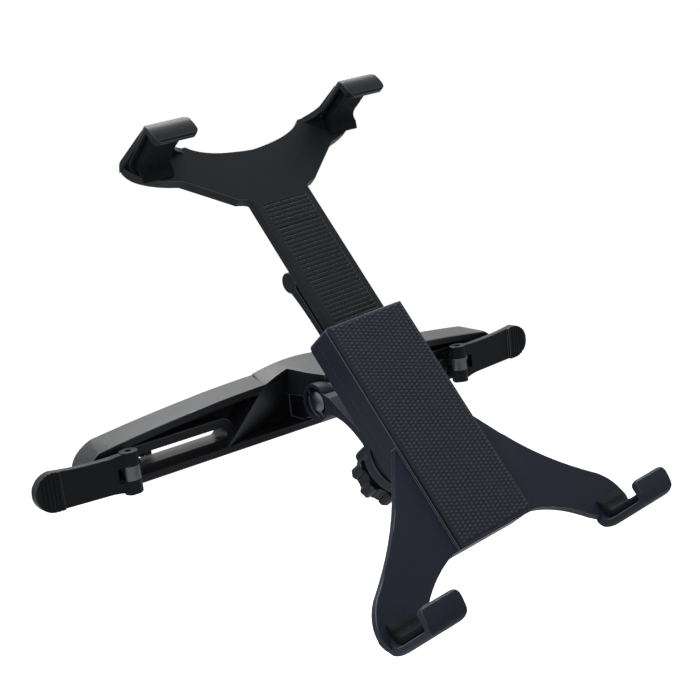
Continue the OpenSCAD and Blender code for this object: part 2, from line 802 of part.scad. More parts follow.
module rear_cover() {
    half = body_width / 2;
    color([0.08, 0.08, 0.09]) turned()
        difference() {
            union() {
                slab_y(body_back_y, cover_back_y) body_outline(half);
                box([-house_half, body_back_y, house_low_z], [house_half, house_back_y, body_above]);
                rod_y(turret_radius, cover_back_y - 1, turret_end_y);
            }
            // Chamber for the release lever, open at the top
            box([-release_width / 2 - part_gap, body_back_y - 1, toe_z - toe_room],
                [release_width / 2 + part_gap, house_back_y - 1.5, body_above + 1]);
            translate([0, release_pin_y, release_pin_z]) rod_x(release_pin_radius, -house_half - 1, house_half + 1);
            rod_y(turn_screw_radius + 0.3, body_back_y + 1, turret_end_y + 1);
            translate([0, cover_back_y + turn_nut_height + 0.1, 0]) rotate([90, 0, 0])
                cylinder(r = turn_nut_half + 0.1, h = turn_nut_height + 0.1 + cover_depth, $fn = 6);
            for (p = screw_places())
                translate([p[0], 0, p[1]]) {
                    rod_y(1.3, body_back_y - 1, cover_back_y + 1);
                    rod_y(2.3, cover_back_y - 1.6, cover_back_y + 1);
                }
        }
}

module cover_screws() {
    color([0.25, 0.25, 0.26]) turned()
        for (p = screw_places())
            translate([p[0], 0, p[1]])
                difference() {
                    union() {
                        rod_y(1.2, body_back_y - screw_bite, cover_back_y - 1);
                        rod_y(2.1, cover_back_y - 1.6, cover_back_y - 0.1);
                    }
                    for (a = [0, 90])
                        translate([0, cover_back_y - 0.5, 0]) rotate([0, a, 0])
                            cube([2.6, 1, 0.6], center = true);
                }
}

module grip_pad() {
    half = body_width / 2 - pad_margin;
    color([0.06, 0.06, 0.06]) turned()
        box([-half, body_front_y - pad_thickness, -body_below + pad_margin],
            [half, body_front_y, body_above - pad_margin]);
}

// Soft liner: along the floor and up the wall of a hook
module liner(width, reach, plate) {
    t = liner_thickness;
    low = hook_wall + 0.05;
    floor_y = -plate - 0.05;
    inset = 2.4;
    fillet = hook_round - hook_wall;
    inner = fillet - 1.5;
    slab_x(-width / 2 + inset, width / 2 - inset)
        polygon(concat([[floor_y, lip_height + 1.5], [floor_y - 0.7, lip_height + 1.5]],
                       bend([floor_y - t, low + t + inner], [floor_y - t, low + t], [floor_y - t - inner, low + t], 6),
                       [[-reach + hook_wall + 2.4, low + t], [-reach + hook_wall + 2.4, low]],
                       bend([floor_y - fillet, low], [floor_y, low], [floor_y, low + fillet], 6)));
}

module lower_liner(side) {
    back = arms_front_y + arm_thickness;
    color([0.05, 0.05, 0.05]) turned()
        translate([side * lower_hook_x, back, -lower_hook_z])
            liner(lower_hook_width, back - lip_front_y + lower_hook_extra, arm_thickness);
}

// Upper bracket

module upper_arm_outline() {
    half = rail_width / 2;
    outer = upper_hook_x + upper_hook_width / 2;
    polygon(concat([[0, foot_z - 1], [half, foot_z - 1]],
                   bend([half, foot_z], [half, foot_z + 1], [half + 5.2, foot_z + 2], 5),
                   rest(bend([half + 5.2, foot_z + 2], [half + 14, foot_z + 8.8], [half + 23.4, foot_z + 15.8], 8)),
                   rest(bend([half + 23.4, foot_z + 15.8], [outer - 0.5, foot_z + 19.8],
                             [outer + 2, foot_z + 28.8], 8)),
                   [[outer + 2, upper_back_z - 0.5]],
                   bend([half + 14, upper_back_z - 0.5], [half + 8, foot_z + 22.9], [0, foot_z + 21.5], 10)));
}

module upper_hook() {
    reach = rail_back_y - lip_front_y;
    translate([upper_hook_x, rail_back_y, upper_back_z]) mirror([0, 0, 1]) {
        hook(upper_hook_width, reach, rail_thickness);
        hook_web(upper_hook_width, reach, rail_thickness);
    }
}

module upper_bracket() {
    half = rail_width / 2;
    count = floor((rail_show + rail_inside - 7) / rib_pitch);
    color([0.09, 0.09, 0.1]) turned()
        difference() {
            union() {
                box([-half, rail_front_y, rail_low_z], [half, rail_back_y, foot_z]);
                for (side = [0, 1]) mirror([side, 0, 0]) {
                    slab_y(rail_front_y, rail_back_y) upper_arm_outline();
                    upper_hook();
                }
            }
            for (i = [0 : count - 1])
                box([-rib_half, rail_front_y - eps, foot_z - 2.4 - rib_pitch * (i + 0.5)],
                    [rib_half, rail_front_y + rib_depth, foot_z - 2.4 - rib_pitch * i]);
            translate([0, rail_back_y, upper_back_z]) mirror([0, 0, 1]) hook_corner(2 * upper_hook_x);
        }
}

module upper_liner(side) {
    color([0.05, 0.05, 0.05]) turned()
        translate([side * upper_hook_x, rail_back_y, upper_back_z]) mirror([0, 0, 1])
            liner(upper_hook_width, rail_back_y - lip_front_y, rail_thickness);
}

// Release lever

module release_section() {
    t = release_thickness;
    y = release_front_y;
    tip_z = release_pin_z + release_length;
    difference() {
        union() {
            polygon(concat([[y + t, toe_z + 8], [y + t, release_pin_z + 8]],
                           bend([y + t, release_pin_z + 8], [y + t, tip_z - 12],
                                [y + t + 1.7, tip_z - 3], 8),
                           [[y, tip_z], [y, toe_z + 6], [rail_back_y + 1.3, toe_z + 3],
                            [rail_back_y + 1.3, toe_z - 3], [rail_back_y + 3.2, toe_z - 3],
                            [rail_back_y + 3.2, toe_z + 2]]));
            translate([y + t / 2 + 0.9, tip_z]) circle(r = release_tip_radius);
            translate([release_pin_y, release_pin_z]) circle(r = 2.4);
        }
    }
}

module release_lever() {
    half = release_width / 2;
    color([0.1, 0.1, 0.11]) turned()
        difference() {
            slab_x(-half, half) release_section();
            translate([0, release_pin_y, release_pin_z]) rod_x(release_pin_radius + run_gap, -half - 1, half + 1);
        }
}

module release_pin() {
    color([0.6, 0.6, 0.62]) turned()
        translate([0, release_pin_y, release_pin_z]) rod_x(release_pin_radius, -house_half + 0.2, house_half - 0.2);
}

module brake_shoe() {
    half = release_width / 2 - 1;
    color([0.05, 0.05, 0.05]) turned()
        box([-half, rail_back_y + 0.08, toe_z - 2.6], [half, rail_back_y + 1.3, toe_z + 2.6]);
}

function helix(t) = spring_radius * [cos(t * 360), 0, sin(t * 360)];

module release_spring() {
    low = rail_back_y + 3.2;
    high = house_back_y - 1.5;
    steps = 16;
    sides = 6;
    rise = high - low - 2 * spring_wire;
    rings = spring_turns * steps;
    points = [for (i = [0 : rings], k = [0 : sides - 1])
        let (c = helix(i / steps) + [0, low + spring_wire + rise * i / rings, 0],
             out = [cos(i * 360 / steps), 0, sin(i * 360 / steps)],
             a = 360 * k / sides)
        c + spring_wire * (cos(a) * out + sin(a) * [0, 1, 0])];
    sides_faces = [for (i = [0 : rings - 1], k = [0 : sides - 1])
        [i * sides + k, i * sides + (k + 1) % sides, (i + 1) * sides + (k + 1) % sides, (i + 1) * sides + k]];
    ends = [[for (k = [sides - 1 : -1 : 0]) k], [for (k = [0 : sides - 1]) rings * sides + k]];
    color([0.6, 0.6, 0.62]) turned()
        translate([0, 0, toe_z]) polyhedron(points, concat(sides_faces, ends));
}

mount_bar();
left_clamp() slide_block();  // left_slide_block
right_clamp() slide_block();  // right_slide_block
left_clamp() clamp_bolt();  // left_clamp_bolt
right_clamp() clamp_bolt();  // right_clamp_bolt
left_clamp() jaw();  // left_jaw
right_clamp() jaw();  // right_jaw
left_clamp() jaw_liner();  // left_jaw_liner
right_clamp() jaw_liner();  // right_jaw_liner
left_clamp() jaw_nut();  // left_jaw_nut
right_clamp() jaw_nut();  // right_jaw_nut
left_clamp() clamp_lever();  // left_clamp_lever
right_clamp() clamp_lever();  // right_clamp_lever
left_clamp() lever_pin();  // left_lever_pin
right_clamp() lever_pin();  // right_lever_pin
tilt_arm();
tilt_screw();
tilt_nut();
turn_knob();
turn_screw();
turn_washer();
turn_nut();
cradle_body();
rear_cover();
grip_pad();
cover_screws();
lower_liner(-1);  // lower_left_liner
lower_liner(1);  // lower_right_liner
upper_bracket();
upper_liner(-1);  // upper_left_liner
upper_liner(1);  // upper_right_liner
release_lever();
release_pin();
release_spring();
brake_shoe();
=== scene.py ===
import bpy
import bmesh
import json
import math
from mathutils import Matrix, Vector, noise

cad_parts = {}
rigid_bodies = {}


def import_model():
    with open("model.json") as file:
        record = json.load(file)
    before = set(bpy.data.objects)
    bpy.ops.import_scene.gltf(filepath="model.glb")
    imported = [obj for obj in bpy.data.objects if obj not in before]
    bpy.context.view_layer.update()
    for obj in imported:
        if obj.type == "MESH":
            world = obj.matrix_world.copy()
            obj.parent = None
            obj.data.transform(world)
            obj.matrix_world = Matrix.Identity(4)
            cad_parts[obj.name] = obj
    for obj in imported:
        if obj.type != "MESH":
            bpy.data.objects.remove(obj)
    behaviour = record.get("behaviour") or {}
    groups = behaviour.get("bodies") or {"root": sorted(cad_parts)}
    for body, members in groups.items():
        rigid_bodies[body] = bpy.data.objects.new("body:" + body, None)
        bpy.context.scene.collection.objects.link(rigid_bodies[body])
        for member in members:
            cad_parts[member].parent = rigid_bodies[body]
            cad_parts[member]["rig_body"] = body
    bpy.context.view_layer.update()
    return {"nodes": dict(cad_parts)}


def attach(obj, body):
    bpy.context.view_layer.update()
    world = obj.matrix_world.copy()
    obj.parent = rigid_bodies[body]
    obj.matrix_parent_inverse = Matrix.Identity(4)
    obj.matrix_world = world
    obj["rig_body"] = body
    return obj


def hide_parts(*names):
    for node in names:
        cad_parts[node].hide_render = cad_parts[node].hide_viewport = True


for startObject in list(bpy.data.objects):
    bpy.data.objects.remove(startObject, do_unlink=True)

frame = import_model()
print("packed model loaded:", len(frame["nodes"]), "nodes")

mm = 0.001
scene = bpy.context.scene
scene.view_settings.view_transform = "Standard"


# Camera, floor and light come first

view = {
    "place": (-209.95 * mm, -430.3 * mm, 148.2 * mm),
    "right": (0.7786, -0.6182, -0.1087),
    "forward": (0.5818, 0.7758, -0.2444),
    "focalPixels": 1271.9,   # of an image 700 pixels wide
    "imagePixels": 700,
    "sensor": 36,            # millimetres
    "near": 0.01,
    "far": 60,
}

studio = {
    "floorDepth": 0.46,      # below the left headrest post
    "floorReach": 9.0,
    "floorColour": (0.86, 0.86, 0.87, 1),
    "floorGlow": 0.66,       # lifts the paper to white for the camera only
    "fadeStart": 0.9,        # where the floor runs into the white backdrop
    "fadeEnd": 2.4,
    "skyForSurfaces": 0.34,
    "skyColour": (0.93, 0.96, 1, 1),
    "middle": (0.07, -0.06, 0.04),
}

# Each lamp: direction from the object, distance, side length, watts
lamps = {
    "topSoftbox": {"towards": (-0.25, 0.30, 1.0), "away": 1.25, "side": 0.9, "watts": 11},
    "backSoftbox": {"towards": (0.50, 0.75, 1.10), "away": 1.5, "side": 0.7, "watts": 17},
    "leftSoftbox": {"towards": (-1.0, -0.35, 0.55), "away": 1.4, "side": 0.7, "watts": 1.5},
}


def makeCamera():
    data = bpy.data.cameras.new("photoCamera")
    data.sensor_width = view["sensor"]
    data.lens = view["focalPixels"] / view["imagePixels"] * view["sensor"]
    data.clip_start = view["near"]
    data.clip_end = view["far"]
    camera = bpy.data.objects.new("photoCamera", data)
    scene.collection.objects.link(camera)
    forward = Vector(view["forward"]).normalized()
    right = Vector(view["right"])
    right = (right - forward * right.dot(forward)).normalized()
    up = right.cross(forward)
    turn = Matrix((right, up, -forward)).transposed()
    camera.matrix_world = Matrix.Translation(view["place"]) @ turn.to_4x4()
    scene.camera = camera


def makeSky():
    world = bpy.data.worlds.new("studioSky")
    scene.world = world
    world.use_nodes = True
    tree = world.node_tree
    tree.nodes.clear()
    out = tree.nodes.new("ShaderNodeOutputWorld")
    seen = tree.nodes.new("ShaderNodeBackground")
    lit = tree.nodes.new("ShaderNodeBackground")
    mix = tree.nodes.new("ShaderNodeMixShader")
    path = tree.nodes.new("ShaderNodeLightPath")
    either = tree.nodes.new("ShaderNodeMath")
    either.operation = "MAXIMUM"
    seen.inputs["Color"].default_value = (1, 1, 1, 1)
    seen.inputs["Strength"].default_value = 1
    lit.inputs["Color"].default_value = studio["skyColour"]
    lit.inputs["Strength"].default_value = studio["skyForSurfaces"]
    tree.links.new(path.outputs["Is Camera Ray"], either.inputs[0])
    tree.links.new(path.outputs["Is Glossy Ray"], either.inputs[1])
    tree.links.new(either.outputs[0], mix.inputs[0])
    tree.links.new(lit.outputs[0], mix.inputs[1])
    tree.links.new(seen.outputs[0], mix.inputs[2])
    tree.links.new(mix.outputs[0], out.inputs[0])


def makeFloor():
    reach = studio["floorReach"]
    mesh = bpy.data.meshes.new("studioFloor")
    mesh.from_pydata([(-reach, -reach, 0), (reach, -reach, 0), (reach, reach, 0), (-reach, reach, 0)],
                     [], [(0, 1, 2, 3)])
    floor = bpy.data.objects.new("studioFloor", mesh)
    floor.location = (studio["middle"][0], studio["middle"][1], -studio["floorDepth"])
    scene.collection.objects.link(floor)

    material = bpy.data.materials.new("floorPaper")
    material.use_nodes = True
    tree = material.node_tree
    tree.nodes.clear()
    out = tree.nodes.new("ShaderNodeOutputMaterial")
    paper = tree.nodes.new("ShaderNodeBsdfDiffuse")
    glow = tree.nodes.new("ShaderNodeEmission")
    white = tree.nodes.new("ShaderNodeEmission")
    both = tree.nodes.new("ShaderNodeAddShader")
    fade = tree.nodes.new("ShaderNodeMixShader")
    seen = tree.nodes.new("ShaderNodeMixShader")
    path = tree.nodes.new("ShaderNodeLightPath")
    place = tree.nodes.new("ShaderNodeTexCoord")
    far = tree.nodes.new("ShaderNodeVectorMath")
    far.operation = "LENGTH"
    ramp = tree.nodes.new("ShaderNodeMapRange")
    ramp.interpolation_type = "SMOOTHSTEP"
    ramp.inputs["From Min"].default_value = studio["fadeStart"]
    ramp.inputs["From Max"].default_value = studio["fadeEnd"]
    paper.inputs["Color"].default_value = studio["floorColour"]
    glow.inputs["Strength"].default_value = studio["floorGlow"]
    white.inputs["Strength"].default_value = 1
    tree.links.new(place.outputs["Object"], far.inputs[0])
    tree.links.new(far.outputs["Value"], ramp.inputs["Value"])
    tree.links.new(paper.outputs[0], both.inputs[0])
    tree.links.new(glow.outputs[0], both.inputs[1])
    tree.links.new(ramp.outputs[0], fade.inputs[0])
    tree.links.new(both.outputs[0], fade.inputs[1])
    tree.links.new(white.outputs[0], fade.inputs[2])
    tree.links.new(path.outputs["Is Camera Ray"], seen.inputs[0])
    tree.links.new(paper.outputs[0], seen.inputs[1])
    tree.links.new(fade.outputs[0], seen.inputs[2])
    tree.links.new(seen.outputs[0], out.inputs[0])
    mesh.materials.append(material)


def makeLamps():
    middle = Vector(studio["middle"])
    for name, lamp in lamps.items():
        data = bpy.data.lights.new(name, "AREA")
        data.shape = "SQUARE"
        data.size = lamp["side"]
        data.energy = lamp["watts"]
        towards = Vector(lamp["towards"]).normalized()
        light = bpy.data.objects.new(name, data)
        light.location = middle + towards * lamp["away"]
        light.rotation_mode = "QUATERNION"
        light.rotation_quaternion = towards.to_track_quat("Z", "Y")
        light.visible_camera = False
        scene.collection.objects.link(light)


makeCamera()
makeSky()
makeFloor()
makeLamps()
print("studio ready")


# Shared effects, as shader node groups. Scales count per metre.

effects = {
    "gritPerPit": 2.1,
    "shadeScale": 55.0,
    "breakScale": 240.0,     # gaps in the rubbed and lit edges
    "crestPower": 1.6,       # keeps the wear on the crest of a rounded edge
    "dustUp": 0.7,           # share of the dust that lies only on what faces up
    "dustPatches": 34.0,
    "dustSpecks": 900.0,
    "foamGain": 2.4,
    "drawnStretch": 0.06,
    "steelShadeScale": 160.0,
}


def newGroup(name, numbers, outputs):
    tree = bpy.data.node_groups.new(name, "ShaderNodeTree")
    for label, value in numbers.items():
        socket = tree.interface.new_socket(label, in_out="INPUT", socket_type="NodeSocketFloat")
        socket.default_value = value
    for label in outputs:
        tree.interface.new_socket(label, in_out="OUTPUT", socket_type="NodeSocketFloat")
    return tree, tree.nodes.new("NodeGroupInput"), tree.nodes.new("NodeGroupOutput")


def mathNode(tree, operation, first, second=None, clamp=False):
    node = tree.nodes.new("ShaderNodeMath")
    node.operation = operation
    node.use_clamp = clamp
    for index, value in enumerate((first, second)):
        if value is None:
            continue
        if isinstance(value, (int, float)):
            node.inputs[index].default_value = value
        else:
            tree.links.new(value, node.inputs[index])
    return node.outputs[0]


def noiseNode(tree, place, scale, detail, rough=0.5):
    node = tree.nodes.new("ShaderNodeTexNoise")
    node.inputs["Detail"].default_value = detail
    node.inputs["Roughness"].default_value = rough
    tree.links.new(place, node.inputs["Vector"])
    if isinstance(scale, (int, float)):
        node.inputs["Scale"].default_value = scale
    else:
        tree.links.new(scale, node.inputs["Scale"])
    return node.outputs["Fac"]


def makeGrainGroup():
    # Spark-eroded mould texture: small round pits with a finer grit between them
    tree, given, out = newGroup("mouldGrain", {"Pit Scale": 1500.0, "Grit": 0.4}, ["Height", "Shade"])
    place = tree.nodes.new("ShaderNodeTexCoord").outputs["Object"]
    pits = tree.nodes.new("ShaderNodeTexVoronoi")
    pits.feature = "SMOOTH_F1"
    tree.links.new(place, pits.inputs["Vector"])
    tree.links.new(given.outputs["Pit Scale"], pits.inputs["Scale"])
    gritScale = mathNode(tree, "MULTIPLY", given.outputs["Pit Scale"], effects["gritPerPit"])
    grit = noiseNode(tree, place, gritScale, 3)
    gritPart = mathNode(tree, "MULTIPLY", grit, given.outputs["Grit"])
    tree.links.new(mathNode(tree, "ADD", pits.outputs["Distance"], gritPart), out.inputs["Height"])
    tree.links.new(noiseNode(tree, place, effects["shadeScale"], 4, 0.6), out.inputs["Shade"])
    return tree


def makeEdgeGroup():
    # Rubbed and lit edges: the rounded edges of a moulding carry an edge mask, which noise breaks up. The
    # mask lightens them, partly as wear and partly as a painted highlight
    tree, given, out = newGroup("edgeRubAndShine", {"Amount": 0.6, "Broken": 0.5}, ["Mask"])
    place = tree.nodes.new("ShaderNodeTexCoord").outputs["Object"]
    edge = tree.nodes.new("ShaderNodeAttribute")
    edge.attribute_name = "edgeMask"
    breaks = noiseNode(tree, place, effects["breakScale"], 4, 0.65)
    keep = mathNode(tree, "SUBTRACT", 1.0, mathNode(tree, "MULTIPLY", breaks, given.outputs["Broken"]))
    crest = mathNode(tree, "POWER", edge.outputs["Fac"], effects["crestPower"])
    wornAndLit = mathNode(tree, "MULTIPLY", crest, keep)
    tree.links.new(mathNode(tree, "MULTIPLY", wornAndLit, given.outputs["Amount"], True), out.inputs["Mask"])
    return tree


def makeDustGroup():
    # Fine dust that settles on what faces up, in patches and fine specks
    tree, given, out = newGroup("dustFilm", {"Amount": 0.3}, ["Mask"])
    place = tree.nodes.new("ShaderNodeTexCoord").outputs["Object"]
    normal = tree.nodes.new("ShaderNodeNewGeometry").outputs["Normal"]
    split = tree.nodes.new("ShaderNodeSeparateXYZ")
    tree.links.new(normal, split.inputs[0])
    facing = mathNode(tree, "MULTIPLY", split.outputs["Z"], effects["dustUp"])
    up = mathNode(tree, "ADD", facing, 1 - effects["dustUp"], True)
    patches = noiseNode(tree, place, effects["dustPatches"], 5, 0.62)
    specks = noiseNode(tree, place, effects["dustSpecks"], 2, 0.7)
    cover = mathNode(tree, "MULTIPLY", mathNode(tree, "MULTIPLY", patches, specks), up)
    tree.links.new(mathNode(tree, "MULTIPLY", cover, given.outputs["Amount"], True), out.inputs["Mask"])
    return tree


def makeFoamGroup():
    # Open cells of cut foam; the hollow output is painted shade in the pits of the cells
    tree, given, out = newGroup("foamCells", {"Cell Scale": 1400.0}, ["Height", "ShadedHollow"])
    place = tree.nodes.new("ShaderNodeTexCoord").outputs["Object"]
    cells = tree.nodes.new("ShaderNodeTexVoronoi")
    cells.feature = "DISTANCE_TO_EDGE"
    tree.links.new(place, cells.inputs["Vector"])
    tree.links.new(given.outputs["Cell Scale"], cells.inputs["Scale"])
    shadedHollow = mathNode(tree, "MULTIPLY", cells.outputs["Distance"], effects["foamGain"], True)
    tree.links.new(shadedHollow, out.inputs["ShadedHollow"])
    tree.links.new(mathNode(tree, "SUBTRACT", 1.0, shadedHollow), out.inputs["Height"])
    return tree


def makeBrushGroup():
    # Turned and drawn steel: fine lines along one axis of the part
    tree, given, out = newGroup("drawnSteel", {"Line Scale": 2600.0}, ["Height", "Shade"])
    place = tree.nodes.new("ShaderNodeTexCoord").outputs["Object"]
    stretch = tree.nodes.new("ShaderNodeMapping")
    stretch.inputs["Scale"].default_value = (1, effects["drawnStretch"], 1)
    tree.links.new(place, stretch.inputs["Vector"])
    lines = noiseNode(tree, stretch.outputs[0], given.outputs["Line Scale"], 4, 0.6)
    tree.links.new(lines, out.inputs["Height"])
    tree.links.new(noiseNode(tree, place, effects["steelShadeScale"], 3, 0.55), out.inputs["Shade"])
    return tree


groups = {
    "grain": makeGrainGroup(),
    "edge": makeEdgeGroup(),
    "dust": makeDustGroup(),
    "foam": makeFoamGroup(),
    "steel": makeBrushGroup(),
}


def useGroup(tree, kind, **values):
    node = tree.nodes.new("ShaderNodeGroup")
    node.node_tree = groups[kind]
    for label, value in values.items():
        node.inputs[label.replace("_", " ")].default_value = value
    return node


def colourMix(tree, share, first, second):
    node = tree.nodes.new("ShaderNodeMix")
    node.data_type = "RGBA"
    node.clamp_factor = True
    tree.links.new(share, node.inputs["Factor"])
    for socket, value in ((node.inputs["A"], first), (node.inputs["B"], second)):
        if isinstance(value, tuple):
            socket.default_value = (*value, 1)
        else:
            tree.links.new(value, socket)
    return node.outputs["Result"]


def rangeNode(tree, value, low, high):
    node = tree.nodes.new("ShaderNodeMapRange")
    node.inputs["To Min"].default_value = low
    node.inputs["To Max"].default_value = high
    tree.links.new(value, node.inputs["Value"])
    return node.outputs[0]


def bumpNode(tree, height, strength, depth):
    node = tree.nodes.new("ShaderNodeBump")
    node.inputs["Strength"].default_value = strength
    node.inputs["Distance"].default_value = depth
    tree.links.new(height, node.inputs["Height"])
    return node.outputs["Normal"]


def newMaterial(name):
    material = bpy.data.materials.new(name)
    material.use_nodes = True
    tree = material.node_tree
    return material, tree, tree.nodes["Principled BSDF"]


# Moulded black plastics. Colours are linear.
# Each edge colour is partly wear and partly a painted highlight on the rounded edges
plastics = {
    "barPlastic": {
        "colour": (0.0050, 0.0056, 0.0075), "variation": (0.0085, 0.0092, 0.0118),
        "rubbedAndLit": (0.16, 0.166, 0.186), "dust": (0.16, 0.165, 0.17), "dustAmount": 0.10,
        "rough": (0.32, 0.44), "rubbedRough": 0.28, "shine": 0.31,
        "pitScale": 1700.0, "bumpStrength": 0.35, "bumpDepth": 0.00005, "edgeAmount": 0.85,
    },
    "cradlePlastic": {
        "colour": (0.0120, 0.0148, 0.0275), "variation": (0.0165, 0.0195, 0.0340),
        "rubbedAndLit": (0.165, 0.172, 0.192), "dust": (0.19, 0.195, 0.20), "dustAmount": 0.09,
        "rough": (0.42, 0.55), "rubbedRough": 0.36, "shine": 0.13,
        "pitScale": 1500.0, "bumpStrength": 0.45, "bumpDepth": 0.00006, "edgeAmount": 0.85,
    },
    "bracketPlastic": {
        "colour": (0.0062, 0.0088, 0.0112), "variation": (0.0090, 0.0118, 0.0146),
        "rubbedAndLit": (0.150, 0.160, 0.172), "dust": (0.19, 0.195, 0.20), "dustAmount": 0.09,
        "rough": (0.36, 0.48), "rubbedRough": 0.32, "shine": 0.14,
        "pitScale": 1600.0, "bumpStrength": 0.4, "bumpDepth": 0.00005, "edgeAmount": 0.85,
    },
    "leverPlastic": {
        "colour": (0.0045, 0.0062, 0.0082), "variation": (0.0078, 0.0100, 0.0125),
        "rubbedAndLit": (0.105, 0.112, 0.124), "dust": (0.17, 0.175, 0.18), "dustAmount": 0.08,
        "rough": (0.36, 0.46), "rubbedRough": 0.28, "shine": 0.14,
        "pitScale": 1900.0, "bumpStrength": 0.25, "bumpDepth": 0.00004, "edgeAmount": 0.85,
    },
    "knobPlastic": {
        "colour": (0.0050, 0.0058, 0.0105), "variation": (0.0078, 0.0088, 0.0150),
        "rubbedAndLit": (0.135, 0.142, 0.164), "dust": (0.18, 0.185, 0.19), "dustAmount": 0.08,
        "rough": (0.38, 0.50), "rubbedRough": 0.34, "shine": 0.14,
        "pitScale": 1600.0, "bumpStrength": 0.4, "bumpDepth": 0.00005, "edgeAmount": 0.85,
    },
}


def makePlastic(name, look):
    material, tree, shader = newMaterial(name)
    grain = useGroup(tree, "grain", Pit_Scale=look["pitScale"])
    edge = useGroup(tree, "edge", Amount=look["edgeAmount"])
    dust = useGroup(tree, "dust", Amount=look["dustAmount"])
    colour = colourMix(tree, grain.outputs["Shade"], look["colour"], look["variation"])
    # The rounded edges lighten: partly wear, partly a painted highlight
    colour = colourMix(tree, edge.outputs["Mask"], colour, look["rubbedAndLit"])
    colour = colourMix(tree, dust.outputs["Mask"], colour, look["dust"])
    tree.links.new(colour, shader.inputs["Base Color"])
    rough = rangeNode(tree, grain.outputs["Shade"], *look["rough"])
    smoothed = mathNode(tree, "MULTIPLY", edge.outputs["Mask"], look["rough"][0] - look["rubbedRough"])
    tree.links.new(mathNode(tree, "SUBTRACT", rough, smoothed), shader.inputs["Roughness"])
    tree.links.new(bumpNode(tree, grain.outputs["Height"], look["bumpStrength"], look["bumpDepth"]),
                   shader.inputs["Normal"])
    shader.inputs["Specular IOR Level"].default_value = look["shine"]
    return material


# The grip rubber with its scales, and the foam
softLooks = {
    "gripRubber": {
        # The hollow colour is painted shade between the scales; the high colour lightens the scale tops,
        # partly as wear, partly as a painted highlight
        "colour": (0.024, 0.028, 0.042), "shadedHollow": (0.0020, 0.0024, 0.0042), "high": (0.085, 0.094, 0.122),
        "rough": (0.55, 0.72), "shine": 0.22,
        "pitScale": 2600.0, "bumpStrength": 0.4, "bumpDepth": 0.00005,
        "wornLitFrom": 0.62, "wornLitGain": 1.4,   # how high a scale has to stand to lighten, partly as wear, partly as a painted highlight
    },
    "linerFoam": {
        # the hollow colour is painted shade in the pits of the foam cells
        "colour": (0.0090, 0.0115, 0.0135), "shadedHollow": (0.0020, 0.0026, 0.0034),
        "rough": (0.82, 0.98), "shine": 0.15, "cellScale": 1500.0,
        "pitScale": 3000.0, "bumpStrength": 0.8, "bumpDepth": 0.00018,
    },
}


def makeGripRubber():
    look = softLooks["gripRubber"]
    material, tree, shader = newMaterial("gripRubber")
    grain = useGroup(tree, "grain", Pit_Scale=look["pitScale"])
    raised = tree.nodes.new("ShaderNodeAttribute")
    raised.attribute_name = "raised"
    # Painted shade: the ground between the scales, the rim and the back are darker than the scale tops
    colour = colourMix(tree, raised.outputs["Fac"], look["shadedHollow"], look["colour"])
    # The highest scale tops lighten, broken up by grain: partly wear, partly a painted highlight
    above = mathNode(tree, "SUBTRACT", raised.outputs["Fac"], look["wornLitFrom"], True)
    tops = mathNode(tree, "MULTIPLY", above, look["wornLitGain"])
    wornAndLit = mathNode(tree, "MULTIPLY", tops, grain.outputs["Shade"])
    colour = colourMix(tree, wornAndLit, colour, look["high"])
    tree.links.new(colour, shader.inputs["Base Color"])
    tree.links.new(rangeNode(tree, grain.outputs["Shade"], *look["rough"]), shader.inputs["Roughness"])
    tree.links.new(bumpNode(tree, grain.outputs["Height"], look["bumpStrength"], look["bumpDepth"]),
                   shader.inputs["Normal"])
    shader.inputs["Specular IOR Level"].default_value = look["shine"]
    return material


def makeFoam():
    look = softLooks["linerFoam"]
    material, tree, shader = newMaterial("linerFoam")
    cells = useGroup(tree, "foam", Cell_Scale=look["cellScale"])
    grain = useGroup(tree, "grain", Pit_Scale=look["pitScale"])
    # Painted shade darkens the pits of the cells
    colour = colourMix(tree, cells.outputs["ShadedHollow"], look["colour"], look["shadedHollow"])
    tree.links.new(colour, shader.inputs["Base Color"])
    tree.links.new(rangeNode(tree, grain.outputs["Shade"], *look["rough"]), shader.inputs["Roughness"])
    tree.links.new(bumpNode(tree, cells.outputs["Height"], look["bumpStrength"], look["bumpDepth"]),
                   shader.inputs["Normal"])
    shader.inputs["Specular IOR Level"].default_value = look["shine"]
    return material


# Screws, pins, nuts and the spring
steelWearAndShine = {"edgeAmount": 0.7, "bumpStrength": 0.25, "bumpDepth": 0.00003}

steels = {
    "darkSteel": {"colour": (0.105, 0.110, 0.128), "light": (0.19, 0.198, 0.215), "rough": (0.30, 0.44)},
    "plainSteel": {"colour": (0.40, 0.41, 0.42), "light": (0.56, 0.57, 0.58), "rough": (0.24, 0.38)},
}


def makeSteel(name, look):
    material, tree, shader = newMaterial(name)
    lines = useGroup(tree, "steel")
    edge = useGroup(tree, "edge", Amount=steelWearAndShine["edgeAmount"])
    colour = colourMix(tree, lines.outputs["Shade"], look["colour"], look["light"])
    # The rounded edges lighten to the light colour: partly wear, partly a painted highlight
    colour = colourMix(tree, edge.outputs["Mask"], colour, look["light"])
    tree.links.new(colour, shader.inputs["Base Color"])
    tree.links.new(rangeNode(tree, lines.outputs["Shade"], *look["rough"]), shader.inputs["Roughness"])
    normal = bumpNode(tree, lines.outputs["Height"], steelWearAndShine["bumpStrength"], steelWearAndShine["bumpDepth"])
    tree.links.new(normal, shader.inputs["Normal"])
    shader.inputs["Metallic"].default_value = 1
    return material


materials = {name: makePlastic(name, look) for name, look in plastics.items()}
materials["gripRubber"] = makeGripRubber()
materials["linerFoam"] = makeFoam()
for steelName, steelLook in steels.items():
    materials[steelName] = makeSteel(steelName, steelLook)
print("materials ready:", len(materials))


# Mouldings: each keeps its solid's own form and gets the small radii of the mould or die it came from

